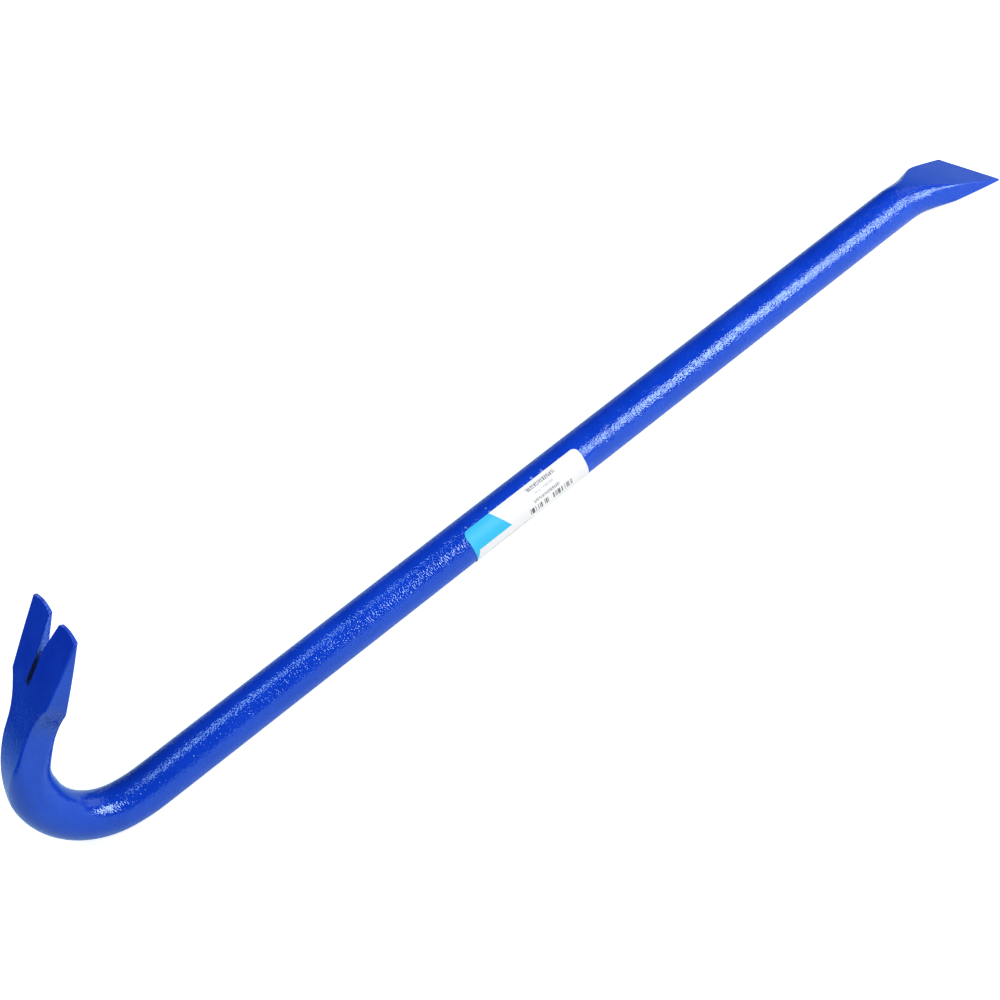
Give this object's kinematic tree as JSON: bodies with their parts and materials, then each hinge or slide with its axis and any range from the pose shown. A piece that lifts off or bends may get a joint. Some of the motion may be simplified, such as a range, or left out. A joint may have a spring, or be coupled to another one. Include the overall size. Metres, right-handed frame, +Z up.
{
  "type": "crowbar",
  "caption": "Gooseneck wrecking bar in blue painted steel with a split claw, a flared chisel end and a label round the shank.",
  "frame": {"origin": "bottom centre of the bounding box, on the floor that the bar rests on", "axes": "+X along the shank from the hook to the chisel, +Z up through the hook, +Y across the width of the claw and the chisel"},
  "size_m": [0.5114, 0.0406, 0.1019],
  "materials": {
    "blue_paint": "glossy enamel with a fine hammered grain over forged steel",
    "white_paper": "coated paper label with a cyan block and grey print"
  },
  "bodies": {
    "root": {"forged_bar": "blue_paint", "label": "white_paper"}
  },
  "joints": []
}
